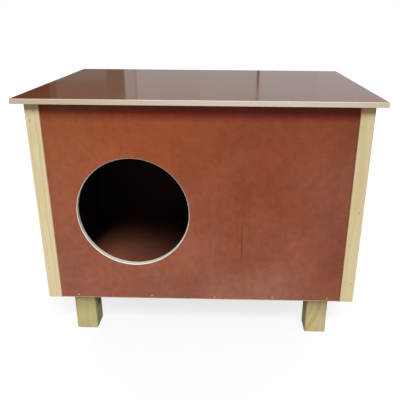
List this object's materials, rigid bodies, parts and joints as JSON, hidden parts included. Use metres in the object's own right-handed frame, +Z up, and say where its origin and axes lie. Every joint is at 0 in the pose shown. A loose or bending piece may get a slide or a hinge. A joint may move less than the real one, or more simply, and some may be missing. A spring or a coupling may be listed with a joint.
{
  "type": "cat house",
  "caption": "Plywood cat house on short timber legs, with a round entrance in the front panel, pale corner laths and a flat overhanging roof that hinges open at the back.",
  "frame": {"origin": "on the ground, under the middle of the roof", "axes": "+Z up, the entrance faces -Y, +X to the right of someone looking at the entrance"},
  "size_m": [0.632, 0.5, 0.466],
  "materials": {
    "film_plywood": "brown film-faced birch plywood, satin, bare pale edges",
    "roof_plywood": "brown film-faced birch plywood, glossy, bare pale edges",
    "pine": "planed pine, unfinished",
    "treated_pine": "pressure-treated pine with a green tint",
    "zinc_steel": "bright zinc-plated sheet steel",
    "screw_steel": "zinc-plated countersunk screws",
    "nail_steel": "plain bright nails"
  },
  "bodies": {
    "house": {"front_panel": "film_plywood", "back_panel": "film_plywood", "left_side_panel": "film_plywood", "right_side_panel": "film_plywood", "floor_panel": "film_plywood", "left_front_lath": "pine", "right_front_lath": "pine", "front_left_leg": "treated_pine", "front_right_leg": "treated_pine", "back_left_leg": "treated_pine", "back_right_leg": "treated_pine", "left_hinge_wall_leaf": "zinc_steel", "right_hinge_wall_leaf": "zinc_steel", "left_hinge_pin": "zinc_steel", "right_hinge_pin": "zinc_steel", "hinge_wall_screws": "screw_steel", "leg_screws": "screw_steel", "front_nails": "nail_steel", "back_nails": "nail_steel", "left_side_nails": "nail_steel", "right_side_nails": "nail_steel", "left_lath_nails": "nail_steel", "right_lath_nails": "nail_steel"},
    "roof": {"roof_panel": "roof_plywood", "left_hinge_roof_leaf": "zinc_steel", "right_hinge_roof_leaf": "zinc_steel", "hinge_roof_screws": "screw_steel"}
  },
  "joints": [
    {"name": "roof_hinge", "type": "hinge", "parent": "house", "child": "roof", "pos_m": [0, 0.22835, 0.45365], "axis": [-1, 0, 0], "range_deg": [0, 100]}
  ]
}
